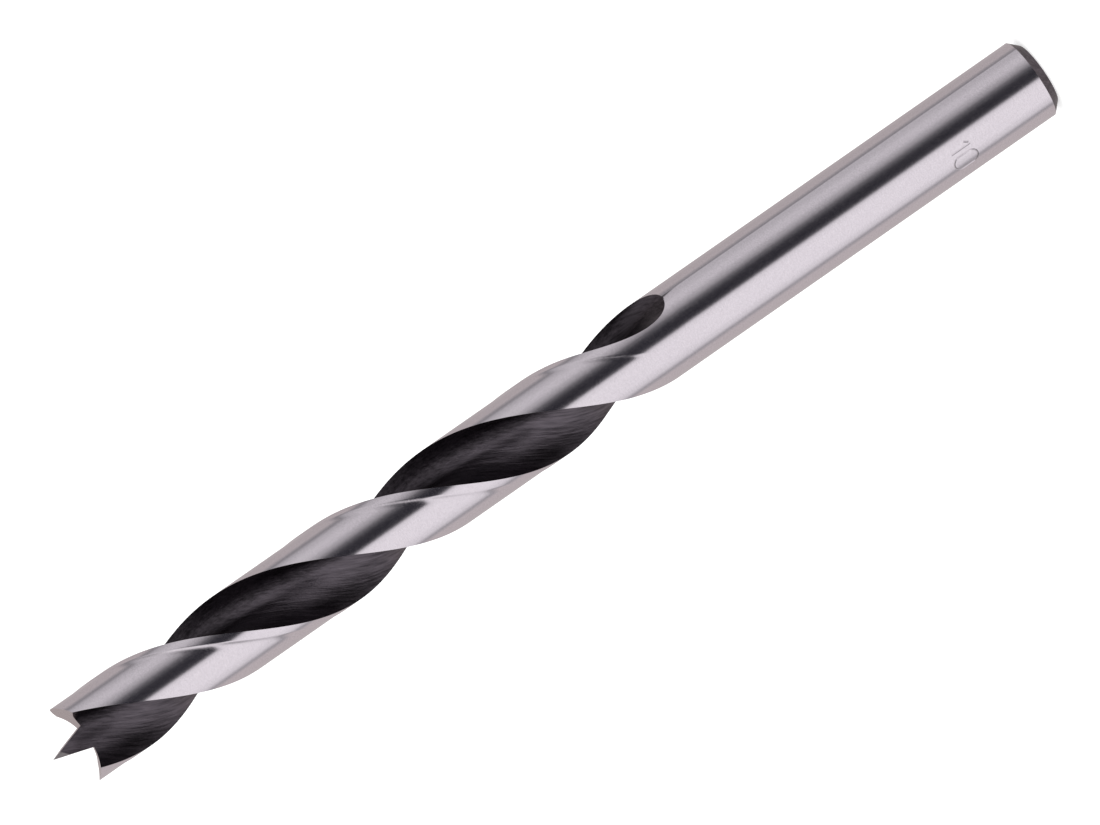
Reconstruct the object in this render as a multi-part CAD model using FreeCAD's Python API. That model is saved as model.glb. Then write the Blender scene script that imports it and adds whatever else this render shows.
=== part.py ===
"""Brad-point twist drill bit for wood, ground from one bar of tool steel.

The drill stands on its shank: Z runs along the axis from the flat end of the
shank up to the brad point. X runs from spur to spur. All sizes are millimetres.
"""

import math
import os

import FreeCAD
import Part

Vector = FreeCAD.Vector
Z_AXIS = Vector(0, 0, 1)

# Bar and shank: the body is widest at its cutting end, so that it runs free in the hole
diameter = 10.0
back_taper = 0.06
overall_length = 138.0
shank_chamfer = 1.1

# Flutes: two right-hand helical grooves, seen in a cut across the axis
flute_length = 87.0
lead = 58.3
web_thickness = 1.9
flute_opening_deg = 94.0
heel_share_deg = 22.0
flute_root_radius = 2.0
run_out_length = 12.0
leading_edge_deg = 243.0

# Lands: a narrow margin beside each leading edge guides the drill, the rest is ground lower
margin_width = 1.05
shoulder_width = 0.9
body_clearance = 0.1

# Ground end: brad point, two hollow lips and two outer spurs
brad_half_angle_deg = 17.0
spur_drop = 2.95
lip_drop = 4.66
lip_hollow_radius = 6.4
relief_deg = 4.5
point_facet_half_angle_deg = 42.0
point_facet_length = 1.4

# How far the cutting tools reach past the bar, and how closely they are drawn
tool_margin = 1.0
step_deg = 10.0

radius = diameter / 2
shank_radius = radius - back_taper / 2
shank_length = overall_length - flute_length
web_radius = web_thickness / 2
flute_depth = radius - web_radius
wheel_radius = (run_out_length**2 + flute_depth**2) / (2 * flute_depth)
run_out_start = shank_length + run_out_length
root_deg = leading_edge_deg + flute_opening_deg - heel_share_deg - 90


def bar():
    """The round bar: a plain shank with a chamfer at its end, and the tapered body."""
    outline = Part.makePolygon(
        [
            Vector(0, 0, 0),
            Vector(shank_radius - shank_chamfer, 0, 0),
            Vector(shank_radius, 0, shank_chamfer),
            Vector(shank_radius, 0, shank_length),
            Vector(radius, 0, overall_length),
            Vector(0, 0, overall_length),
            Vector(0, 0, 0),
        ]
    )
    return Part.Face(outline).revolve(Vector(0, 0, 0), Z_AXIS, 360)


def polar(distance, angle_deg):
    """A point across the axis, at an angle from the flute's root line to its heel."""
    angle = math.radians(angle_deg)
    return Vector(-distance * math.sin(angle), distance * math.cos(angle), 0)


def arc_beyond(centre, arc_radius, outer_radius):
    """Where a circle centred on the root line leaves a larger circle round the axis."""
    height = (outer_radius**2 + centre.y**2 - arc_radius**2) / (2 * centre.y)
    return Vector(math.sqrt(outer_radius**2 - height**2), height, 0)


def on_circle(centre, circle_radius, angle):
    return centre + Vector(math.cos(angle), math.sin(angle), 0) * circle_radius


def flute_outline():
    """The groove in a cut across the axis: its root is at +Y, its leading edge at +X.

    The leading side is one long shallow arc, tangent to the web. A smaller arc
    turns it up into a straight heel wall. Both sides run on past the bar.
    """
    reach = radius + 3 * tool_margin
    root = Vector(0, web_radius, 0)
    leading_corner = polar(radius, heel_share_deg - flute_opening_deg)
    heel_corner = polar(radius, heel_share_deg)

    rise = leading_corner.y - web_radius
    face_radius = (leading_corner.x**2 + rise**2) / (2 * rise)
    face_centre = Vector(0, web_radius + face_radius, 0)
    face_end = arc_beyond(face_centre, face_radius, reach)
    face_end_angle = math.atan2(face_end.y - face_centre.y, face_end.x)
    face_mid = on_circle(face_centre, face_radius, (face_end_angle - math.pi / 2) / 2)

    root_centre = Vector(0, web_radius + flute_root_radius, 0)
    to_heel = heel_corner - root_centre
    turn = math.acos(flute_root_radius / to_heel.Length)
    touch_angle = math.atan2(to_heel.y, to_heel.x) + turn
    touch = on_circle(root_centre, flute_root_radius, touch_angle)
    root_mid = on_circle(root_centre, flute_root_radius, touch_angle / 2 + math.pi * 3 / 4)
    heel_end = heel_corner + (heel_corner - touch).normalize() * (reach - radius)
    return Part.Wire(
        [
            Part.Arc(face_end, face_mid, root).toShape(),
            Part.Arc(root, root_mid, touch).toShape(),
            Part.LineSegment(touch, heel_end).toShape(),
            Part.LineSegment(heel_end, face_end).toShape(),
        ]
    )


def land_relief_outline(lift):
    """What comes off one land in a cut across the axis, from its margin to past its heel.

    A hollow shoulder leads from the margin's full radius down to the rest of the land.
    """
    reach = radius + 3 * tool_margin
    low = radius - body_clearance + lift
    margin_deg = heel_share_deg - flute_opening_deg - math.degrees(margin_width / radius)
    shoulder_deg = margin_deg - math.degrees(shoulder_width / radius)
    past_heel_deg = heel_share_deg - 180 - math.degrees(tool_margin / radius)
    margin_foot = polar(radius + lift, margin_deg)
    shoulder_foot = polar(low, shoulder_deg)
    hollow = polar(low + body_clearance / 4, (margin_deg + shoulder_deg) / 2)
    middle = polar(low, (shoulder_deg + past_heel_deg) / 2)
    past_heel = polar(low, past_heel_deg)
    outer_heel = polar(reach, past_heel_deg)
    outer_middle = polar(reach, (margin_deg + past_heel_deg) / 2)
    outer_margin = polar(reach, margin_deg)
    return Part.Wire(
        [
            Part.LineSegment(outer_margin, margin_foot).toShape(),
            Part.Arc(margin_foot, hollow, shoulder_foot).toShape(),
            Part.Arc(shoulder_foot, middle, past_heel).toShape(),
            Part.LineSegment(past_heel, outer_heel).toShape(),
            Part.Arc(outer_heel, outer_middle, outer_margin).toShape(),
        ]
    )


def lift_at(z):
    """How far the grinding wheel has climbed out at a height, in the flute's run-out."""
    past = max(0.0, run_out_start - z)
    return wheel_radius - math.sqrt(wheel_radius**2 - past**2)


def helical_tool(outline_at, depth):
    """A cutter that follows the helix and climbs out of the bar, which it enters by a depth."""
    top = overall_length + tool_margin
    climb = depth + tool_margin
    lowest = run_out_start - math.sqrt(wheel_radius**2 - (wheel_radius - climb) ** 2)
    count = math.ceil((top - lowest) / lead * 360 / step_deg)
    sections = []
    for i in range(count + 1):
        z = top + (lowest - top) * i / count
        section = outline_at(lift_at(z))
        section.translate(Vector(0, 0, z))
        turn_deg = root_deg + (z - overall_length) / lead * 360
        section.rotate(Vector(0, 0, 0), Z_AXIS, turn_deg)
        sections.append(section)
    return Part.makeLoft(sections, True, False)


def lifted_flute_outline(lift):
    outline = flute_outline()
    outline.translate(Vector(0, lift, 0))
    return outline


def lip_tool():
    """What the wheel takes off one wing: the brad's flank, the hollow lip and the spur.

    Its outline is extruded across the end at the relief angle, so the surface
    falls away behind the lip.
    """
    reach = radius + tool_margin
    flank_slope = math.tan(math.radians(brad_half_angle_deg))
    lip_z = overall_length - lip_drop
    spur_z = overall_length - spur_drop
    hollow_rise = spur_z - lip_z
    hollow_run = math.sqrt(lip_hollow_radius**2 - (lip_hollow_radius - hollow_rise) ** 2)
    centre = Vector(radius - hollow_run, 0, lip_z + lip_hollow_radius)

    notch_x, notch_z = flank_meets_hollow(centre, flank_slope)
    outer_angle = math.asin((reach - centre.x) / lip_hollow_radius)
    inner_angle = math.asin((notch_x - centre.x) / lip_hollow_radius)
    mid_angle = (outer_angle + inner_angle) / 2

    def on_hollow(angle):
        return centre + Vector(math.sin(angle), 0, -math.cos(angle)) * lip_hollow_radius

    top_z = overall_length + 3 * tool_margin
    notch = Vector(notch_x, 0, notch_z)
    outer = on_hollow(outer_angle)
    above_outer = Vector(reach, 0, top_z)
    above_point = Vector((overall_length - top_z) * flank_slope, 0, top_z)
    outline = Part.Wire(
        [
            Part.LineSegment(above_point, notch).toShape(),
            Part.Arc(notch, on_hollow(mid_angle), outer).toShape(),
            Part.LineSegment(outer, above_outer).toShape(),
            Part.LineSegment(above_outer, above_point).toShape(),
        ]
    )
    pass_line = Vector(0, 1, math.tan(math.radians(relief_deg))) * reach
    outline.translate(-pass_line)
    return Part.Face(outline).extrude(pass_line * 2)


def flank_meets_hollow(centre, flank_slope):
    """Where the straight flank of the brad runs into the round hollow of the lip."""
    height = overall_length - centre.z
    a = 1 + flank_slope**2
    b = -2 * (centre.x * flank_slope + height)
    c = centre.x**2 + height**2 - lip_hollow_radius**2
    drop = (-b + math.sqrt(b * b - 4 * a * c)) / (2 * a)
    return drop * flank_slope, overall_length - drop


def point_facet_tool():
    """What thins the web to a sharp point: a wedge off one broad side of the brad."""
    slope = math.tan(math.radians(point_facet_half_angle_deg))
    low = overall_length - point_facet_length - tool_margin
    width = (overall_length - low) * slope
    high = overall_length + tool_margin
    outline = Part.makePolygon(
        [
            Vector(0, 0, overall_length),
            Vector(0, width, low),
            Vector(0, width, high),
            Vector(0, 0, high),
            Vector(0, 0, overall_length),
        ]
    )
    outline.translate(Vector(-web_thickness / 2, 0, 0))
    return Part.Face(outline).extrude(Vector(web_thickness, 0, 0))


def pair(tool):
    """The same tool again on the other side of the axis."""
    other = tool.copy()
    other.rotate(Vector(0, 0, 0), Z_AXIS, 180)
    return [tool, other]


def drill_bit():
    tools = (
        pair(helical_tool(land_relief_outline, body_clearance))
        + pair(helical_tool(lifted_flute_outline, flute_depth))
        + pair(lip_tool())
        + pair(point_facet_tool())
    )
    solid = bar()
    for tool in tools:
        solid = solid.cut(tool)
    return solid


os.makedirs("parts", exist_ok=True)
bit = drill_bit()
print("volume", round(bit.Volume, 2), "solids", len(bit.Solids), "faces", len(bit.Faces), "valid", bit.isValid())
bit.exportStep("parts/drill_bit.step")
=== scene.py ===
# %% [markdown]
# # A brad-point twist drill for wood
#
# One bar of tool steel, 10 mm thick and 138 mm long, stands on its shank. The shank is bright
# ground steel. Two right-hand flutes wind round the other 87 mm and stay black from the
# hardening bath. The end is ground to a brad point with two hollow lips and two outer spurs.
# This lesson opens the CAD frame, models the drill as one mesh that replaces the plain CAD
# solid, gives each ground face its own finish, and lights it as in the product photograph.

# %% Open the frame
import math

import bmesh
import bpy
from mathutils import Matrix, Vector


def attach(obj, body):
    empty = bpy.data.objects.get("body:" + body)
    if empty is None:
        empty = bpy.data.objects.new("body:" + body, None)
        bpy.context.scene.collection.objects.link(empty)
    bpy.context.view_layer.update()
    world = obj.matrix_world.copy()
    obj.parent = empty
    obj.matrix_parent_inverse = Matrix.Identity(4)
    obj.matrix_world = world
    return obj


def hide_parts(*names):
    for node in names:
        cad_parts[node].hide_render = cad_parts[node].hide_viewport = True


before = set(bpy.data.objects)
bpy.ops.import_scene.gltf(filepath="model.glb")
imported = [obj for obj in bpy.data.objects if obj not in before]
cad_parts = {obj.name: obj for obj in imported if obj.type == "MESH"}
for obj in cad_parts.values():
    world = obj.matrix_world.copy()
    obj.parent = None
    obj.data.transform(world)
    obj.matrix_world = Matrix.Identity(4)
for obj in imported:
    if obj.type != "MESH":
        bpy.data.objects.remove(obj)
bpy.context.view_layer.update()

bpy.ops.object.select_all(action="DESELECT")

# %% [markdown]
# ## Camera and picture frame
#
# The photograph is taken from far away with a long lens, a little above the drill's middle, so
# that the two sides of the bar stay parallel. The drill stands upright in this scene and runs
# from the upper right to the lower left of the picture, so the camera itself is rolled. Turning
# the camera, and not the drill, keeps every size in the CAD frame.

# %% Camera
MM = 0.001
PICTURE_WIDTH = 1100
PIXELS_PER_MM = 8.808
CAMERA_DISTANCE = 2.0
CAMERA_ELEVATION = math.radians(9.0)
SENSOR_WIDTH = 36.0
CLIP_NEAR, CLIP_FAR = 0.05, 60.0
AIM = Vector((0.12, 0, 68.65)) * MM
AXIS_IN_PICTURE = Vector((-0.82043, -0.57174))
TOWARDS_CAMERA = Vector((0, -math.cos(CAMERA_ELEVATION), math.sin(CAMERA_ELEVATION)))


def add_camera():
    """A long lens, rolled so that the drill's axis lies across the picture."""
    across = Vector((1, 0, 0))
    along = TOWARDS_CAMERA.cross(across)
    right = along * AXIS_IN_PICTURE.x + across * AXIS_IN_PICTURE.y
    up = along * AXIS_IN_PICTURE.y - across * AXIS_IN_PICTURE.x
    turn = Matrix((right, up, TOWARDS_CAMERA)).transposed()
    place = AIM + TOWARDS_CAMERA * CAMERA_DISTANCE
    bpy.ops.object.camera_add(location=place, rotation=turn.to_euler())
    camera = bpy.context.object
    camera.name = "photo_camera"
    camera.data.sensor_width = SENSOR_WIDTH
    camera.data.lens = SENSOR_WIDTH * CAMERA_DISTANCE / (PICTURE_WIDTH / PIXELS_PER_MM * MM)
    camera.data.clip_start = CLIP_NEAR
    camera.data.clip_end = CLIP_FAR
    bpy.context.scene.camera = camera
    return camera


photo_camera = add_camera()
print("lens", round(photo_camera.data.lens, 1), "mm")

# %% [markdown]
# ## The drill's sizes
#
# These are the sizes that the CAD source uses, in millimetres. The mesh repeats its section and
# its helix, so the visual model lies exactly where the solid is.

# %% Sizes, in millimetres
RADIUS = 5.0
SHANK_RADIUS = 4.97
LENGTH = 138.0
SHANK_LENGTH = 51.0
SHANK_CHAMFER = 1.1
LEAD = 58.3
WEB_RADIUS = 0.95
HEEL_DEG = 22.0
FLUTE_OPENING_DEG = 94.0
ROOT_DEG = 225.0
ROOT_ARC_RADIUS = 2.0
RUN_OUT_LENGTH = 12.0
MARGIN_WIDTH = 1.05
SHOULDER_WIDTH = 0.9
CLEARANCE = 0.1
SPARE = 1.0

LEADING_DEG = HEEL_DEG - FLUTE_OPENING_DEG
MARGIN_START_DEG = LEADING_DEG + 180 - math.degrees(MARGIN_WIDTH / RADIUS)
SHOULDER_DEG = math.degrees(SHOULDER_WIDTH / RADIUS)
SHOULDER_START_DEG = MARGIN_START_DEG - SHOULDER_DEG
FLUTE_DEPTH = RADIUS - WEB_RADIUS
RUN_OUT_START = SHANK_LENGTH + RUN_OUT_LENGTH
WHEEL_RADIUS = (RUN_OUT_LENGTH**2 + FLUTE_DEPTH**2) / (2 * FLUTE_DEPTH)
print("flutes:", LENGTH - SHANK_LENGTH, "mm long, wheel radius", round(WHEEL_RADIUS, 1), "mm")

# %% [markdown]
# ## The section across the drill
#
# A cut across the drill shows two flutes. Each has a long shallow cutting side, a small arc at
# its root and a straight heel wall. Between the flutes lie the lands: a narrow margin beside
# each cutting edge keeps the full radius and guides the drill, and behind a soft shoulder the
# land is ground a tenth of a millimetre lower. The corners of this outline could be drawn by
# hand, but here they follow from the sizes, with angles counted from the root of the flute.

# %% Corners of the section
def polar(distance, angle_deg):
    """A point at an angle from the flute's root line towards its heel."""
    angle = math.radians(angle_deg)
    return Vector((-math.sin(angle), math.cos(angle))) * distance


def angle_of(point):
    """The angle of a point from the flute's root line towards its heel, in degrees."""
    return math.degrees(math.atan2(-point.x, point.y))


leading_corner = polar(RADIUS, LEADING_DEG)
face_rise = leading_corner.y - WEB_RADIUS
FACE_RADIUS = (leading_corner.x**2 + face_rise**2) / (2 * face_rise)
heel_corner = polar(RADIUS, HEEL_DEG)
root_centre = Vector((0, WEB_RADIUS + ROOT_ARC_RADIUS))
to_heel = heel_corner - root_centre
touch_angle = math.atan2(to_heel.y, to_heel.x) + math.acos(ROOT_ARC_RADIUS / to_heel.length)
touch = root_centre + Vector((math.cos(touch_angle), math.sin(touch_angle))) * ROOT_ARC_RADIUS
ARC_TURN = 1.5 * math.pi - touch_angle % (2 * math.pi)
print("heel wall starts", round(angle_of(touch), 1), "degrees from the root line")

# %% [markdown]
# ## The two sides of a flute
#
# Each side of the flute is a line that starts at its root: the cutting side is one long arc, and
# the heel side goes round the root arc and then up the wall. Where the flutes end, the wheel
# climbs out of the bar, so the same lines are lifted further and further and leave the bar
# earlier. A formula for that place would need several cases. Halving the way again and again
# finds it on both sides with one short function.

# %% Walk along both sides
HALVINGS = 40


def face_point(way, lift):
    """A point on the cutting side, a way in radians along its arc from the root."""
    on_arc = Vector((math.sin(way), 1 - math.cos(way))) * FACE_RADIUS
    return on_arc + Vector((0, WEB_RADIUS + lift))


def heel_point(way, lift):
    """A point on the root arc and then the heel wall, a way in millimetres from the root."""
    turned = way / ROOT_ARC_RADIUS
    if turned < ARC_TURN:
        angle = -math.pi / 2 - turned
        on_arc = Vector((math.cos(angle), math.sin(angle))) * ROOT_ARC_RADIUS
        return root_centre + on_arc + Vector((0, lift))
    wall = (heel_corner - touch).normalized()
    return touch + wall * (way - ARC_TURN * ROOT_ARC_RADIUS) + Vector((0, lift))


def way_to_surface(point_at, lift, radius, longest):
    """How far along a side of the flute it leaves the bar, found by halving."""
    low, high = 0.0, longest
    for _ in range(HALVINGS):
        middle = (low + high) / 2
        if point_at(middle, lift).length < radius:
            low = middle
        else:
            high = middle
    return low


print("depth of the flute at its root:", round(RADIUS - face_point(0.0, 0.0).length, 2), "mm")

# %% [markdown]
# ## One half of the section
#
# The second half of each section is the first after half a turn, so one half is enough. A fixed
# number of points falls on the heel side, the land, the shoulder, the margin and the cutting
# side. Each point has its own column, and the edges always lie on the same columns, so they stay
# crisp all the way down. The low land rises to the bar's own radius over the run-out.

# %% One half of the section, column by column
HEEL_COLUMNS = 24
LAND_COLUMNS = 34
SHOULDER_COLUMNS = 6
MARGIN_COLUMNS = 16
FACE_COLUMNS = 24
HALF_COLUMNS = HEEL_COLUMNS + LAND_COLUMNS + SHOULDER_COLUMNS + MARGIN_COLUMNS + FACE_COLUMNS
LONGEST_HEEL_WAY = 8.0
LONGEST_FACE_WAY = 0.4
JUST_PAST_THE_BAR = 1.0001


def body_radius(z):
    """The bar is a touch thicker at its cutting end."""
    share = (z - SHANK_LENGTH) / (LENGTH - SHANK_LENGTH)
    return SHANK_RADIUS + (RADIUS - SHANK_RADIUS) * max(0.0, share)


def lift_at(z):
    """How far the wheel has climbed out of the bar at a height."""
    past = max(0.0, RUN_OUT_START - z)
    return WHEEL_RADIUS - math.sqrt(max(0.0, WHEEL_RADIUS**2 - past**2))


def land_radius(angle_deg, z):
    """The land's radius: low behind the shoulder, full on the margin."""
    fade = min(1.0, max(0.0, (RUN_OUT_START - z) / RUN_OUT_LENGTH))
    low = RADIUS - CLEARANCE * (1 - fade * fade * (3 - 2 * fade))
    share = min(1.0, max(0.0, (angle_deg - SHOULDER_START_DEG) / SHOULDER_DEG))
    return min(body_radius(z), low + CLEARANCE * share**2 * JUST_PAST_THE_BAR)


def half_section(z):
    """From the root of one flute over its heel, the land and the margin to the next root."""
    lift, radius = lift_at(z), body_radius(z)
    heel_radius = min(radius, RADIUS - CLEARANCE + lift) if lift < CLEARANCE else radius
    heel_way = way_to_surface(heel_point, lift, heel_radius, LONGEST_HEEL_WAY)
    face_way = way_to_surface(face_point, lift, radius, LONGEST_FACE_WAY)
    points = [heel_point(heel_way * i / HEEL_COLUMNS, lift) for i in range(HEEL_COLUMNS)]
    heel_deg = angle_of(heel_point(heel_way, lift))
    lead_deg = angle_of(face_point(face_way, lift)) + 180
    for start, end, count in (
        (heel_deg, SHOULDER_START_DEG, LAND_COLUMNS),
        (SHOULDER_START_DEG, MARGIN_START_DEG, SHOULDER_COLUMNS),
        (MARGIN_START_DEG, lead_deg, MARGIN_COLUMNS),
    ):
        for i in range(count):
            angle_deg = start + (end - start) * i / count
            points.append(polar(land_radius(angle_deg, z), angle_deg))
    for i in range(FACE_COLUMNS):
        points.append(-face_point(face_way * (FACE_COLUMNS - i) / FACE_COLUMNS, lift))
    return points


def section(z):
    """The whole outline at a height in millimetres, turned to its place on the helix."""
    turn = Matrix.Rotation(math.radians(ROOT_DEG + (z - LENGTH) / LEAD * 360), 2)
    half = half_section(z)
    return [(turn @ point) * MM for point in half + [-point for point in half]]


print("columns round the drill:", 2 * HALF_COLUMNS)

# %% [markdown]
# ## The fluted body
#
# A real drill is a round bar that a profiled wheel cuts while the bar turns and moves along. In
# Blender the same shape comes from a circle that is extruded ring by ring, each ring turned a
# little further on the helix. It could also be one section with a Screw modifier, but that can't
# make the run-out, where the wheel leaves the bar. The rings lie closer together there.

# %% Extrude the section along the helix
RING_STEP = 0.5
RUN_OUT_RINGS = 56
SAME_PLACE = 0.0000005

body_rings = int((LENGTH + SPARE - RUN_OUT_START) / RING_STEP) + 1
ring_heights = [LENGTH + SPARE - RING_STEP * i for i in range(body_rings)] + [
    RUN_OUT_START - RUN_OUT_LENGTH * math.sin(math.pi / 2 * i / RUN_OUT_RINGS)
    for i in range(1, RUN_OUT_RINGS + 1)
]


def place_ring(mesh, z):
    """Move the selected ring onto the section at its height."""
    edit = bmesh.from_edit_mesh(mesh)
    column = edit.verts.layers.int["column"]
    outline = section(z)
    for vertex in edit.verts:
        if vertex.select:
            point = outline[vertex[column]]
            vertex.co = (point.x, point.y, z * MM)
    bmesh.update_edit_mesh(mesh)


bpy.ops.mesh.primitive_circle_add(
    vertices=2 * HALF_COLUMNS, radius=RADIUS * MM, fill_type="NOTHING"
)
drill = bpy.context.object
drill.name = "drill"
columns = drill.data.attributes.new("column", "INT", "POINT")
columns.data.foreach_set("value", list(range(2 * HALF_COLUMNS)))
bpy.ops.object.mode_set(mode="EDIT")
bpy.ops.mesh.select_all(action="SELECT")
for index, height in enumerate(ring_heights):
    if index:
        bpy.ops.mesh.extrude_edges_move()
    place_ring(drill.data, height)
bpy.ops.mesh.remove_doubles(threshold=SAME_PLACE)
print("rings:", len(ring_heights))

# %% [markdown]
# ## The shank and its end
#
# Below the run-out the bar is plain and round. Its end has a turned chamfer, so that the drill
# slides easily into a chuck. The last ring of the body is extruded straight down and scaled in
# for the chamfer, and its end is filled. The other end, above the point, is filled too, because
# the boolean that grinds the point needs a closed mesh.

# %% Extrude the shank
SHANK_RING_HEIGHTS = (
    47.0, 35.0, 23.0, 17.0, 15.7, 14.5, 13.2, 11.9, 10.7, 9.0, 4.0, SHANK_CHAMFER,
)
SAME_HEIGHT = 0.000001


def select_ring(z):
    """Select the open edges at a height in millimetres."""
    bpy.ops.mesh.select_all(action="DESELECT")
    bpy.ops.mesh.select_mode(type="EDGE")
    edit = bmesh.from_edit_mesh(drill.data)
    for edge in edit.edges:
        at_height = all(abs(vertex.co.z - z * MM) < SAME_HEIGHT for vertex in edge.verts)
        if edge.is_boundary and at_height:
            edge.select = True
    bmesh.update_edit_mesh(drill.data)


def extrude_down(millimetres):
    """Extrude the selected ring straight down."""
    bpy.ops.mesh.extrude_edges_move(TRANSFORM_OT_translate={"value": (0, 0, -millimetres * MM)})


last_height = SHANK_LENGTH
select_ring(last_height)
for height in SHANK_RING_HEIGHTS:
    extrude_down(last_height - height)
    last_height = height
extrude_down(SHANK_CHAMFER)
narrower = (SHANK_RADIUS - SHANK_CHAMFER) / SHANK_RADIUS
bpy.ops.transform.resize(value=(narrower, narrower, 1), center_override=(0, 0, 0))
bpy.ops.mesh.edge_face_add()
select_ring(LENGTH + SPARE)
bpy.ops.mesh.edge_face_add()
bpy.ops.mesh.select_all(action="SELECT")
bpy.ops.mesh.normals_make_consistent(inside=False)
bpy.ops.object.mode_set(mode="OBJECT")
print("vertices before grinding the point:", len(drill.data.vertices))

# %% [markdown]
# ## Which face gets which finish
#
# The lands, the margins and the shank were ground after hardening, so they are bright. The
# flutes, the chamfer and the end of the shank kept the black skin of the bath. Painting a mask
# would blur the edges between them. Each face knows its columns, so they decide its slot.

# %% Material slots by column
GROUND, BLACK = 0, 1

ground_steel, black_steel, tip_steel, point_steel = (
    bpy.data.materials.new(name)
    for name in ("ground_steel", "black_steel", "tip_steel", "point_steel")
)
for material in (ground_steel, black_steel, tip_steel, point_steel):
    drill.data.materials.append(material)


def is_flute_column(number):
    """Columns from the cutting edge over the root to the heel."""
    within = number % HALF_COLUMNS
    return within < HEEL_COLUMNS or within >= HALF_COLUMNS - FACE_COLUMNS


def sort_faces():
    """Give each face its slot and count the faces of the flutes."""
    column_of = [entry.value for entry in drill.data.attributes["column"].data]
    flute_faces = 0
    for face in drill.data.polygons:
        numbers = sorted({column_of[vertex] for vertex in face.vertices})
        over_seam = numbers[-1] - numbers[0] > HALF_COLUMNS
        first = numbers[-1] if over_seam else numbers[0]
        in_flute = face.center.z >= SHANK_LENGTH * MM and is_flute_column(first)
        at_end = face.center.z < SHANK_CHAMFER * MM
        face.material_index = BLACK if in_flute or at_end else GROUND
        flute_faces += in_flute
    return flute_faces


print("flute faces:", sort_faces())

# %% [markdown]
# ## Grinding the point
#
# A shaped wheel cuts each half of the end in one straight pass. It leaves half of the brad
# point, the hollow lip and the outer spur, and it slopes so that the metal falls away behind the
# cutting edge. Here the wheel is a solid with the same outline, drawn out along the pass, and a
# boolean takes it away from the drill. Two thin wedges then sharpen the web between the flutes.

# %% The wheel's outline
BRAD_HALF_DEG = 17.0
SPUR_DROP = 2.95
LIP_DROP = 4.66
HOLLOW_RADIUS = 6.4
HOLLOW_STEPS = 40
FACET_HALF_DEG = 42.0
FACET_LENGTH = 1.4

BRAD_SLOPE = math.tan(math.radians(BRAD_HALF_DEG))
FACET_SLOPE = math.tan(math.radians(FACET_HALF_DEG))
spur_z = LENGTH - SPUR_DROP
lip_z = LENGTH - LIP_DROP
hollow_run = math.sqrt(HOLLOW_RADIUS**2 - (HOLLOW_RADIUS - (spur_z - lip_z)) ** 2)
hollow_centre = Vector((RADIUS - hollow_run, lip_z + HOLLOW_RADIUS))


def notch_angle():
    """Where on the hollow's circle the brad's straight flank meets it."""
    height = LENGTH - hollow_centre.y
    a = 1 + BRAD_SLOPE**2
    b = -2 * (hollow_centre.x * BRAD_SLOPE + height)
    c = hollow_centre.x**2 + height**2 - HOLLOW_RADIUS**2
    drop = (-b + math.sqrt(b * b - 4 * a * c)) / (2 * a)
    return math.asin((drop * BRAD_SLOPE - hollow_centre.x) / HOLLOW_RADIUS)


def wheel_outline():
    """The flank of the brad, the hollow and the spur, closed above the drill."""
    reach = RADIUS + SPARE
    top = LENGTH + 3 * SPARE
    start = notch_angle()
    end = math.asin((reach - hollow_centre.x) / HOLLOW_RADIUS)
    points = [Vector(((LENGTH - top) * BRAD_SLOPE, top))]
    for i in range(HOLLOW_STEPS + 1):
        angle = start + (end - start) * i / HOLLOW_STEPS
        points.append(hollow_centre + Vector((math.sin(angle), -math.cos(angle))) * HOLLOW_RADIUS)
    points.append(Vector((reach, top)))
    return [(point.x, 0.0, point.y) for point in points]


def wedge_outline():
    """A wedge off the broad side of the brad, across the drill's axis."""
    low = LENGTH - FACET_LENGTH - SPARE
    width = (LENGTH - low) * FACET_SLOPE
    high = LENGTH + SPARE
    return [(0.0, 0.0, LENGTH), (0.0, width, low), (0.0, width, high), (0.0, 0.0, high)]


print("points of the wheel and the wedge:", len(wheel_outline()), len(wedge_outline()))

# %% [markdown]
# ## Both halves of the point
#
# The two wings of a drill are the same after half a turn, and they have to be, or it would cut
# to one side. So each cutter is made once, copied and turned round the axis. A Mirror modifier
# would be wrong here, because a mirrored wing would cut the other way round.

# %% Cut both halves
RELIEF_DEG = 4.5


def cutter(name, outline, middle_pass, finish):
    """A solid from an outline in millimetres, drawn out to both sides of it."""
    bpy.ops.mesh.primitive_circle_add(vertices=len(outline), radius=MM, fill_type="NGON")
    tool = bpy.context.object
    tool.name = name
    half = Vector(middle_pass)
    for vertex, place in zip(tool.data.vertices, outline):
        vertex.co = (Vector(place) - half) * MM
    bpy.ops.object.mode_set(mode="EDIT")
    bpy.ops.mesh.select_all(action="SELECT")
    bpy.ops.mesh.extrude_region_move(TRANSFORM_OT_translate={"value": half * 2 * MM})
    bpy.ops.mesh.select_all(action="SELECT")
    bpy.ops.mesh.normals_make_consistent(inside=False)
    bpy.ops.object.mode_set(mode="OBJECT")
    tool.data.materials.append(finish)
    return tool


def half_turned_copy():
    """A copy of the active cutter for the other wing, half a turn round the axis."""
    bpy.ops.object.duplicate()
    other = bpy.context.object
    other.data.transform(Matrix.Rotation(math.pi, 4, "Z"))
    return other


def pick_drill():
    """Make the drill the active object and select nothing else."""
    bpy.ops.object.select_all(action="DESELECT")
    drill.select_set(True)
    bpy.context.view_layer.objects.active = drill


def grind(tool):
    """Take a cutter away from the drill and remove it."""
    pick_drill()
    cut = drill.modifiers.new("grind", "BOOLEAN")
    cut.operation = "DIFFERENCE"
    cut.solver = "EXACT"
    cut.material_mode = "TRANSFER"
    cut.object = tool
    bpy.ops.object.modifier_apply(modifier=cut.name)
    bpy.data.objects.remove(tool, do_unlink=True)


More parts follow.
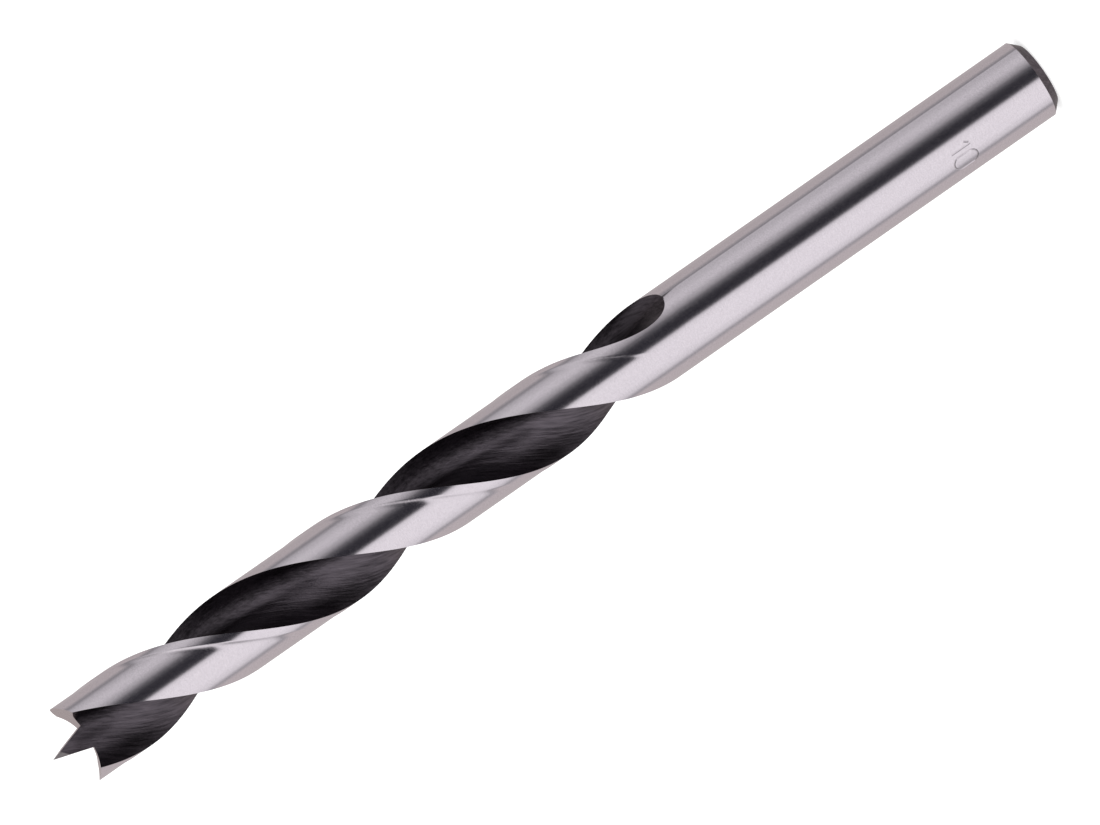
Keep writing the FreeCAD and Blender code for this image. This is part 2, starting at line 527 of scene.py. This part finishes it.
lip_pass = (0, RADIUS + SPARE, (RADIUS + SPARE) * math.tan(math.radians(RELIEF_DEG)))
for name, outline, middle_pass, finish in (
    ("lip_wheel", wheel_outline(), lip_pass, tip_steel),
    ("point_wheel", wedge_outline(), (WEB_RADIUS, 0, 0), point_steel),
):
    first = cutter(name, outline, middle_pass, finish)
    second = half_turned_copy()
    grind(first)
    grind(second)
print("faces after grinding:", len(drill.data.polygons))

# %% [markdown]
# ## The size mark
#
# A small 10 for the diameter is rolled into the shank near its end. It is so shallow that only
# the edges of its strokes show. Each stroke is a line laid on the shank, thickened to a round bar
# that dips a few hundredths of a millimetre into the steel, and taken away from it. A bump
# texture would be quicker, but real strokes catch the light on their own edges.

# %% Lines of the mark
STROKE_ROUND = 0.16
STROKE_DEPTH = 0.04
MARK_MIDDLE_Z = 13.2
ZERO_MIDDLE_DEG = 42.3
ZERO_WIDTH, ZERO_HEIGHT = 1.75, 3.15
CORNER_STEPS = 16
ONE_DEG = 24.0
ONE_LINE = [(ONE_DEG, 11.9), (ONE_DEG, MARK_MIDDLE_Z), (ONE_DEG, 14.5)]
ONE_FLAG = [(ONE_DEG - 2.5, 12.0), (ONE_DEG - 4.5, 12.25), (ONE_DEG - 6.5, 12.5)]


def on_shank(across_deg, z):
    """A place just above the shank, at an angle from the camera's side."""
    distance = SHANK_RADIUS + STROKE_ROUND - STROKE_DEPTH
    angle = -math.radians(across_deg + 90)
    return Vector((math.cos(angle) * distance, math.sin(angle) * distance, z)) * MM


def zero_line():
    """Two half circles joined by straight sides."""
    half = ZERO_WIDTH / 2
    places = []
    for i in range(2 * CORNER_STEPS):
        end = 1 if i < CORNER_STEPS else -1
        angle = math.pi * (i + 0.5 * (end < 0)) / (CORNER_STEPS - 0.5)
        across_deg = math.degrees(math.cos(angle) * half / SHANK_RADIUS)
        along = math.sin(angle) * half + end * (ZERO_HEIGHT / 2 - half)
        places.append((ZERO_MIDDLE_DEG + across_deg, MARK_MIDDLE_Z + along))
    return places


print("places along the zero:", len(zero_line()))

# %% [markdown]
# ## Strokes pressed into the shank
#
# A circle of loose vertices is bent onto the line. An open stroke loses the edge between its two
# ends. As a curve it gets a round bevel with closed ends, and as a mesh again it is a cutter
# like the grinding wheels.

# %% Roll the mark in
STROKE_BEVEL_STEPS = 5


def stroke(name, places, closed):
    """A round bar along a line on the shank."""
    bpy.ops.mesh.primitive_circle_add(vertices=len(places), radius=MM, fill_type="NOTHING")
    line = bpy.context.object
    line.name = name
    for vertex, place in zip(line.data.vertices, places):
        vertex.co = on_shank(*place)
    if not closed:
        last = len(places) - 1
        for edge in line.data.edges:
            edge.select = set(edge.vertices) == {0, last}
        bpy.ops.object.mode_set(mode="EDIT")
        bpy.ops.mesh.delete(type="EDGE")
        bpy.ops.object.mode_set(mode="OBJECT")
    bpy.ops.object.convert(target="CURVE")
    line.data.bevel_depth = STROKE_ROUND * MM
    line.data.bevel_resolution = STROKE_BEVEL_STEPS
    line.data.use_fill_caps = True
    bpy.ops.object.convert(target="MESH")
    line.data.materials.clear()
    line.data.materials.append(ground_steel)
    return line


grind(stroke("zero", zero_line(), True))
grind(stroke("one", ONE_LINE, False))
grind(stroke("flag", ONE_FLAG, False))
print("faces with the mark:", len(drill.data.polygons))

# %% [markdown]
# ## Shading
#
# The curved faces shade smoothly and the ground edges stay sharp. An angle of 28 degrees tells
# them apart on this drill, because every cutting edge is sharper than that.

# %% Smooth faces, sharp edges
SHARP_ANGLE = math.radians(28)

pick_drill()
bpy.ops.object.shade_smooth_by_angle(angle=SHARP_ANGLE)
print("triangles:", sum(len(face.vertices) - 2 for face in drill.data.polygons))

# %% [markdown]
# ## Small helpers for nodes
#
# Every finish below is built from nodes. Three short functions keep that readable: one adds a
# node, one gives it its inputs, and one does a piece of arithmetic.

# %% Node helpers
def add_node(tree, kind, **settings):
    """Add a node and set what it does, such as its operation."""
    node = tree.nodes.new(kind)
    for name, setting in settings.items():
        setattr(node, name, setting)
    return node


def feed(tree, node, **inputs):
    """Link or set inputs, by name with _ for a space, or by number as n0."""
    for key, value in inputs.items():
        name = int(key[1:]) if key[0] == "n" and key[1:].isdigit() else key.replace("_", " ")
        if isinstance(value, bpy.types.NodeSocket):
            tree.links.new(value, node.inputs[name])
        else:
            node.inputs[name].default_value = value
    return node


def maths(tree, operation, *numbers):
    """The result of one operation on numbers or sockets."""
    node = add_node(tree, "ShaderNodeMath", operation=operation)
    inputs = {f"n{place}": number for place, number in enumerate(numbers)}
    return feed(tree, node, **inputs).outputs[0]


def new_group(name, inputs, output):
    """An empty node group with number inputs, given with their defaults, and one output."""
    group = bpy.data.node_groups.new(name, "ShaderNodeTree")
    kind = "NodeSocketFloat"
    for socket, default in inputs.items():
        made = group.interface.new_socket(name=socket, in_out="INPUT", socket_type=kind)
        made.default_value = default
    group.interface.new_socket(name=output, in_out="OUTPUT", socket_type=kind)
    return group


print("helpers:", add_node.__name__, feed.__name__, maths.__name__, new_group.__name__)

# %% [markdown]
# ## A pattern that the finishes share
#
# The flutes show streaks that the grinding wheel left along the helix. To draw them, a node
# group turns each point back by the helix, so that the streaks become upright lines, and then
# stretches a noise along them. The wheel stood at an angle to the flute, so the streaks slant a
# little across it. Without a twist the same group gives the grain of the other ground faces.

# %% Streaks along the helix
METRES_TO_MM = 1000.0
STREAK_INPUTS = {
    "Fineness": 3.0, "Stretch": 0.04, "Twist per mm": 0.0, "Start": 0.0, "Slant": 0.0,
}
STREAK_DETAIL = 4.0
STREAK_ROUGHNESS = 0.6
UNTWIST_PER_MM = -2 * math.pi / LEAD
ALONG_THE_FLUTE = {
    "Twist_per_mm": UNTWIST_PER_MM,
    "Start": -math.radians(ROOT_DEG) - LENGTH * UNTWIST_PER_MM,
    "Slant": 0.47,
}


def helix_streaks_group():
    """Noise that is drawn out along the helix."""
    group = new_group("helix_streaks", STREAK_INPUTS, "Streaks")
    given = add_node(group, "NodeGroupInput").outputs
    place = add_node(group, "ShaderNodeTexCoord").outputs["Object"]
    scale = add_node(group, "ShaderNodeVectorMath", operation="SCALE")
    in_mm = feed(group, scale, n0=place, Scale=METRES_TO_MM).outputs[0]
    height = feed(group, add_node(group, "ShaderNodeSeparateXYZ"), Vector=in_mm).outputs["Z"]
    turn = maths(group, "MULTIPLY_ADD", height, given["Twist per mm"], given["Start"])
    rotate = add_node(group, "ShaderNodeVectorRotate", rotation_type="Z_AXIS")
    straight = feed(group, rotate, Vector=in_mm, Angle=turn).outputs[0]
    parts = feed(group, add_node(group, "ShaderNodeSeparateXYZ"), Vector=straight).outputs
    slant = maths(group, "MULTIPLY", given["Slant"], maths(group, "SIGN", parts["Y"]))
    slanted = maths(group, "MULTIPLY_ADD", parts["Z"], slant, parts["X"])
    drawn_out = maths(group, "MULTIPLY", parts["Z"], given["Stretch"])
    together = add_node(group, "ShaderNodeCombineXYZ")
    feed(group, together, X=slanted, Y=parts["Y"], Z=drawn_out)
    noise = add_node(group, "ShaderNodeTexNoise")
    feed(group, noise, Vector=together.outputs[0], Scale=given["Fineness"])
    feed(group, noise, Detail=STREAK_DETAIL, Roughness=STREAK_ROUGHNESS)
    feed(group, add_node(group, "NodeGroupOutput"), Streaks=noise.outputs[0])
    return group


helix_streaks = helix_streaks_group()
print("node group:", helix_streaks.name, "with", len(helix_streaks.nodes), "nodes")

# %% [markdown]
# ## What every finish is made of
#
# All four finishes are plain metal. One pattern moves three things a little: the colour, the
# roughness and, through a bump, the surface. Real ground steel varies in just these ways. The
# parts that repeat are functions, so that each finish is only its own numbers.

# %% Parts of a finish
PATTERN_LOW, PATTERN_HIGH = 0.3, 0.7


def start_material(material):
    """The nodes of a new material and its shader."""
    material.use_nodes = True
    tree = material.node_tree
    return tree, tree.nodes["Principled BSDF"]


def use_streaks(tree, **settings):
    """The streaks pattern; a setting that isn't given keeps its default."""
    node = add_node(tree, "ShaderNodeGroup", node_tree=helix_streaks)
    return feed(tree, node, **settings).outputs["Streaks"]


def between(tree, factor, low, high, from_low=PATTERN_LOW, from_high=PATTERN_HIGH):
    """Map a factor's range to another range."""
    node = add_node(tree, "ShaderNodeMapRange")
    feed(tree, node, Value=factor, From_Min=from_low, From_Max=from_high, To_Min=low, To_Max=high)
    return node.outputs["Result"]


def mix_colours(tree, factor, first, second, blend="MIX"):
    """Mix two colours, each a value or a socket."""
    node = add_node(tree, "ShaderNodeMix", data_type="RGBA", blend_type=blend)
    return feed(tree, node, n0=factor, n6=first, n7=second).outputs[2]


def blend_patterns(tree, first, second, first_part):
    """Two patterns as one, the first with its part of the whole."""
    parts = ((first, first_part), (second, 1 - first_part))
    return maths(tree, "ADD", *(maths(tree, "MULTIPLY", *part) for part in parts))


def make_metal(tree, shader, pattern, shade, colours, roughness, bump):
    """Metal whose colour follows a shade, and its roughness and height a pattern."""
    colour = mix_colours(tree, shade, *((*colour, 1) for colour in colours))
    bumped = feed(tree, add_node(tree, "ShaderNodeBump"), Height=pattern, **bump)
    rough = between(tree, pattern, *roughness)
    feed(tree, shader, Metallic=1.0, Base_Color=colour, Roughness=rough, Normal=bumped.outputs[0])


print("a pattern counts between", PATTERN_LOW, "and", PATTERN_HIGH)

# %% [markdown]
# ## Bright ground steel
#
# The shank and the lands were ground in one pass, so they mirror the studio, a little blurred.
# Their lines run round the bar. A coarse grain and a fine speckle, half and half, move the
# roughness, and a weak bump breaks the mirror up.

# %% Ground steel
STEEL_COLOURS = ((0.56, 0.53, 0.56), (0.64, 0.61, 0.64))
STEEL_GRAIN = {"Fineness": 2.2, "Stretch": 6.0}
STEEL_SPECKLE = {"Fineness": 6.0, "Stretch": 1.0}
GRAIN_PART = 0.5
STEEL_CONTRAST = (0.38, 0.62)
STEEL_ROUGHNESS = (0.09, 0.15)
STEEL_BUMP = {"Strength": 0.12, "Distance": 0.00002}

tree, shader = start_material(ground_steel)
grain = use_streaks(tree, **STEEL_GRAIN)
speckle = use_streaks(tree, **STEEL_SPECKLE)
mottle = blend_patterns(tree, grain, speckle, GRAIN_PART)
shade = between(tree, mottle, 0.0, 1.0, *STEEL_CONTRAST)
make_metal(tree, shader, mottle, shade, STEEL_COLOURS, STEEL_ROUGHNESS, STEEL_BUMP)
print("ground steel: roughness from", *STEEL_ROUGHNESS)

# %% [markdown]
# ## Black flutes
#
# The black skin is thin, so the steel below still gives it a metallic sheen. Fine and broad
# streaks lie over each other along the flute. They are much stronger than the grain of the
# shank, because the flutes aren't ground again after hardening.

# %% Black steel
BLACK_COLOURS = ((0.06, 0.053, 0.061), (0.16, 0.142, 0.162))
FINE_STREAKS = {"Fineness": 3.6, "Stretch": 0.1}
BROAD_STREAKS = {"Fineness": 1.1, "Stretch": 0.14}
FINE_PART = 0.6
BLACK_CONTRAST = (0.36, 0.64)
BLACK_ROUGHNESS = (0.27, 0.37)
BLACK_BUMP = {"Strength": 0.6, "Distance": 0.00012}

tree, shader = start_material(black_steel)
fine = use_streaks(tree, **FINE_STREAKS, **ALONG_THE_FLUTE)
broad = use_streaks(tree, **BROAD_STREAKS, **ALONG_THE_FLUTE)
streaks = blend_patterns(tree, fine, broad, FINE_PART)
spread = between(tree, streaks, 0.0, 1.0, *BLACK_CONTRAST)
make_metal(tree, shader, streaks, spread, BLACK_COLOURS, BLACK_ROUGHNESS, BLACK_BUMP)
print("black steel: roughness from", *BLACK_ROUGHNESS)

# %% [markdown]
# ## The ground lips
#
# The last grinding pass goes straight across the end, after the bath, so the lips and the flanks
# of the brad are bright and a little duller than the shank. One even pattern is enough on faces
# this small.

# %% Tip steel
TIP_COLOURS = ((0.46, 0.40, 0.41), (0.58, 0.51, 0.53))
TIP_LINES = {"Fineness": 4.0, "Stretch": 1.0}
TIP_ROUGHNESS = (0.2, 0.32)
TIP_BUMP = {"Strength": 0.15, "Distance": 0.00002}

tree, shader = start_material(tip_steel)
lines = use_streaks(tree, **TIP_LINES)
make_metal(tree, shader, lines, lines, TIP_COLOURS, TIP_ROUGHNESS, TIP_BUMP)
print("tip steel: roughness from", *TIP_ROUGHNESS)

# %% [markdown]
# ## The facets of the brad
#
# In the photograph the two small facets beside the sharp point are darker and more uneven than
# the lips. So they have a finish of their own, with a wider range of greys and a duller mirror.

# %% Point steel
POINT_COLOURS = ((0.24, 0.225, 0.235), (0.54, 0.51, 0.52))
POINT_LINES = {"Fineness": 3.0, "Stretch": 0.5}
POINT_ROUGHNESS = (0.3, 0.42)
POINT_BUMP = {"Strength": 0.15, "Distance": 0.00002}

tree, shader = start_material(point_steel)
lines = use_streaks(tree, **POINT_LINES)
make_metal(tree, shader, lines, lines, POINT_COLOURS, POINT_ROUGHNESS, POINT_BUMP)
print("point steel: roughness from", *POINT_ROUGHNESS)

# %% [markdown]
# ## The white ground
#
# The photograph has a plain white ground without a shadow. A wide plane gives it, with matt
# paper that glows a little, so that it stays white. The steel doesn't mirror it, because the
# light tent below says all that the steel shows.

# %% Floor
WHITE_FLOOR = (0.8, 0.8, 0.8, 1)
WHITE = (1, 1, 1, 1)
FLOOR_SIZE = 30.0
FLOOR_GLOW = 0.6

bpy.ops.mesh.primitive_plane_add(size=FLOOR_SIZE)
floor = bpy.context.object
floor.name = "floor"
floor.visible_glossy = False
paper = bpy.data.materials.new("white_paper")
tree, shader = start_material(paper)
feed(tree, shader, Base_Color=WHITE_FLOOR, Roughness=1.0)
feed(tree, shader, Emission_Color=WHITE, Emission_Strength=FLOOR_GLOW)
floor.data.materials.append(paper)
print("floor:", FLOOR_SIZE, "m wide")

# %% [markdown]
# ## A tent of light
#
# Steel shows little but reflections, and the photograph shows those of a light tent. Lamps would
# give small hard spots. A wide sphere round the drill carries the long soft lights instead, and
# only mirror rays see it.

# %% Light tent
TENT_RADIUS = 20.0
TENT_SEGMENTS, TENT_RINGS = 96, 48

bpy.ops.mesh.primitive_uv_sphere_add(
    segments=TENT_SEGMENTS, ring_count=TENT_RINGS, radius=TENT_RADIUS
)
tent = bpy.context.object
tent.name = "light_tent"
for ray in ("camera", "diffuse", "transmission", "volume_scatter", "shadow"):
    setattr(tent, f"visible_{ray}", False)
cloth = bpy.data.materials.new("tent_cloth")
cloth.use_nodes = True
tent.data.materials.append(cloth)
tree = cloth.node_tree
tree.nodes.clear()
print("tent radius:", TENT_RADIUS, "m")

# %% [markdown]
# ## Directions on the tent
#
# Each light has a place on the tent, given by two angles: how far it is turned round the drill
# from the camera's side, and how far it is raised above the level. For the flutes another pair
# is easier to use. Half-way between the light and the camera lies the direction that a mirror
# has to face to show that light, so its two angles say which faces of the drill the light is on.

# %% Angles of the light and of the mirror
TO_DEGREES = 180 / math.pi


def unit(tree, vector):
    """A direction of length one."""
    node = add_node(tree, "ShaderNodeVectorMath", operation="NORMALIZE")
    return feed(tree, node, n0=vector).outputs[0]


def turned_and_raised(tree, direction):
    """The two angles of a direction, in degrees."""
    parts = feed(tree, add_node(tree, "ShaderNodeSeparateXYZ"), Vector=direction).outputs
    minus_x = maths(tree, "MULTIPLY", parts["X"], -1.0)
    minus_y = maths(tree, "MULTIPLY", parts["Y"], -1.0)
    angles = maths(tree, "ARCTAN2", minus_x, minus_y), maths(tree, "ARCSINE", parts["Z"])
    return [maths(tree, "MULTIPLY", angle, TO_DEGREES) for angle in angles]


to_light = unit(tree, add_node(tree, "ShaderNodeTexCoord").outputs["Object"])
half_way = add_node(tree, "ShaderNodeVectorMath", operation="ADD")
feed(tree, half_way, n0=to_light, n1=TOWARDS_CAMERA)
turned, raised = turned_and_raised(tree, to_light)
mirror_turned, mirror_raised = turned_and_raised(tree, unit(tree, half_way.outputs[0]))
print("nodes for the angles:", len(tree.nodes))

# %% [markdown]
# ## Soft boxes for the upright faces
#
# The camera stands nine degrees above the level, so an upright face mirrors only a belt nine
# degrees below it. The shank and the lands are upright and show this belt alone: a wide soft box
# on either side and, between them, the dark gap where the camera looks in. The steel of the gap
# is faintly blue. Each light is a colour ramp over an angle, which keeps its soft edges in one
# short row of stops.

# %% Belt with two soft boxes and a gap
TENT_TINT = (1.0, 0.97, 0.99)
TENT_BLUE = 0.008
SOFT_BOXES = (
    (-180, 0.56), (-112, 0.66), (-99, 0.34), (-89, 0.64), (-68, 0.84), (-50, 0.80), (-20, 0.9),
    (0, 1.0), (17, 1.12), (30, 1.22), (66, 1.2), (86, 1.0), (97, 0.5), (108, 0.75),
    (130, 0.72), (180, 0.56),
)
GAP_ROUND = (
    (-180, 0), (-54, 0), (-39, 0.39), (-28, 0.8), (-17, 0.945), (-6, 0.967), (3, 0.945),
    (8, 0.84), (12, 0.25), (17, 0), (180, 0),
)
BELT_UP = ((-90, 0), (-20, 0), (-17, 1), (-1, 1), (3, 0), (90, 0))


def add_ramp(tree, factor, stops, tint=(1, 1, 1), blue=0.0):
    """A colour ramp with a brightness at each angle in degrees."""
    low, high = stops[0][0], stops[-1][0]
    ramp = add_node(tree, "ShaderNodeValToRGB")
    tree.links.new(between(tree, factor, 0.0, 1.0, low, high), ramp.inputs[0])
    elements = ramp.color_ramp.elements
    while len(elements) > 1:
        elements.remove(elements[-1])
    for index, (angle, brightness) in enumerate(stops):
        place = (angle - low) / (high - low)
        stop = elements[0] if index == 0 else elements.new(place)
        stop.position = place
        red, green, blue_part = (brightness * part for part in tint)
        stop.color = (red, green, blue_part + blue, 1)
    return ramp.outputs[0]


boxes = add_ramp(tree, turned, SOFT_BOXES, TENT_TINT, TENT_BLUE)
boxes = mix_colours(tree, add_ramp(tree, turned, GAP_ROUND), boxes, (0.0, 0.0, TENT_BLUE, 1))
print("stops of the soft boxes and the gap:", len(SOFT_BOXES), len(GAP_ROUND))

# %% [markdown]
# ## A slanted band for the flutes
#
# The flutes face up and down as well as round, and they mirror the rest of the tent. One long
# light runs round it as a band that dips towards one side, with a soft edge above and below. It
# is measured with the mirror's angles, so it crosses each flute as one streak of light.

# %% Slanted band
BAND_HALF = 12.0
BAND_DIP_FROM, BAND_DIP_TO = 5.0, 50.0
BAND_HIGH, BAND_LOW = -1.0, -24.0
BAND_ROUND = (
    (-90, 0.7), (-60, 0.6), (-45, 0.2), (-35, 0.25), (-20, 1.5), (0, 1.6), (10, 1.1), (20, 0.8),
    (30, 0.9), (90, 1.0),
)
BAND_UP = (
    (-4, 0.0), (-0.98, 0.0), (-0.72, 0.6), (-0.55, 1.0), (0.6, 1.0), (0.85, 0.5), (1.1, 0.2),
    (2.2, 0.15), (4, 0.1),
)

band_middle = between(tree, mirror_turned, BAND_HIGH, BAND_LOW, BAND_DIP_FROM, BAND_DIP_TO)
from_middle = maths(tree, "SUBTRACT", mirror_raised, band_middle)
off_band = maths(tree, "DIVIDE", from_middle, BAND_HALF)
band_round = add_ramp(tree, mirror_turned, BAND_ROUND, TENT_TINT)
band = mix_colours(tree, 1.0, band_round, add_ramp(tree, off_band, BAND_UP), "MULTIPLY")
print("the band dips from", BAND_HIGH, "to", BAND_LOW, "degrees")

# %% [markdown]
# ## Ends and back of the tent
#
# The tent is bright at its top and its bottom, which lights the lips and the ends of the flutes.
# Behind the drill it has plain levels by height, and its cloth is a little warmer there. The
# back is seen only along the very edges of the bar, where every surface is a mirror.

# %% Ends, back and warm cloth
TENT_WARM = (1.0, 0.945, 0.915, 1)
ENDS_UP = (
    (-90, 0.85), (-60, 0.85), (-52, 0.45), (-42, 0.45), (-34, 0.8), (-28, 0.3), (-23, 0.0),
    (25, 0.0), (40, 0.45), (60, 0.8), (90, 0.85),
)
BACK_UP = ((-90, 0.85), (-55, 0.8), (-35, 0.5), (-20, 0.56), (35, 0.56), (55, 0.7), (90, 0.85))
BACK_ROUND = ((-180, 1), (-150, 1), (-112, 0), (112, 0), (150, 1), (180, 1))
WARM_ROUND = ((-180, 1), (-112, 1), (-99, 0), (97, 0), (108, 1), (180, 1))

ends = add_ramp(tree, mirror_raised, ENDS_UP, TENT_TINT)
front = mix_colours(tree, 1.0, band, ends, "LIGHTEN")
back = add_ramp(tree, raised, BACK_UP, TENT_TINT)
around = mix_colours(tree, add_ramp(tree, turned, BACK_ROUND), front, back)
lit = mix_colours(tree, add_ramp(tree, raised, BELT_UP), around, boxes)
warm = mix_colours(tree, add_ramp(tree, turned, WARM_ROUND), WHITE, TENT_WARM)
lit = mix_colours(tree, 1.0, lit, warm, "MULTIPLY")
glow = feed(tree, add_node(tree, "ShaderNodeEmission"), Color=lit)
feed(tree, add_node(tree, "ShaderNodeOutputMaterial"), Surface=glow.outputs[0])
print("nodes of the tent:", len(tree.nodes))

# %% [markdown]
# ## World and colour
#
# An even white world fills the shadows, as the white walls of a studio do. The Standard view
# keeps white at white. A filmic view would turn the ground grey.

# %% World and colour
WORLD_STRENGTH = 1.0

world = bpy.data.worlds.new("white_studio")
world.use_nodes = True
background = world.node_tree.nodes["Background"]
feed(world.node_tree, background, Color=WHITE, Strength=WORLD_STRENGTH)
bpy.context.scene.world = world
bpy.context.scene.view_settings.view_transform = "Standard"
print("view transform:", bpy.context.scene.view_settings.view_transform)

# %% [markdown]
# ## Hand the drill to the frame
#
# The mesh stands for the CAD solid and rides on the only body.

# %% Finish
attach(drill, "root")
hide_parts("drill_bit")
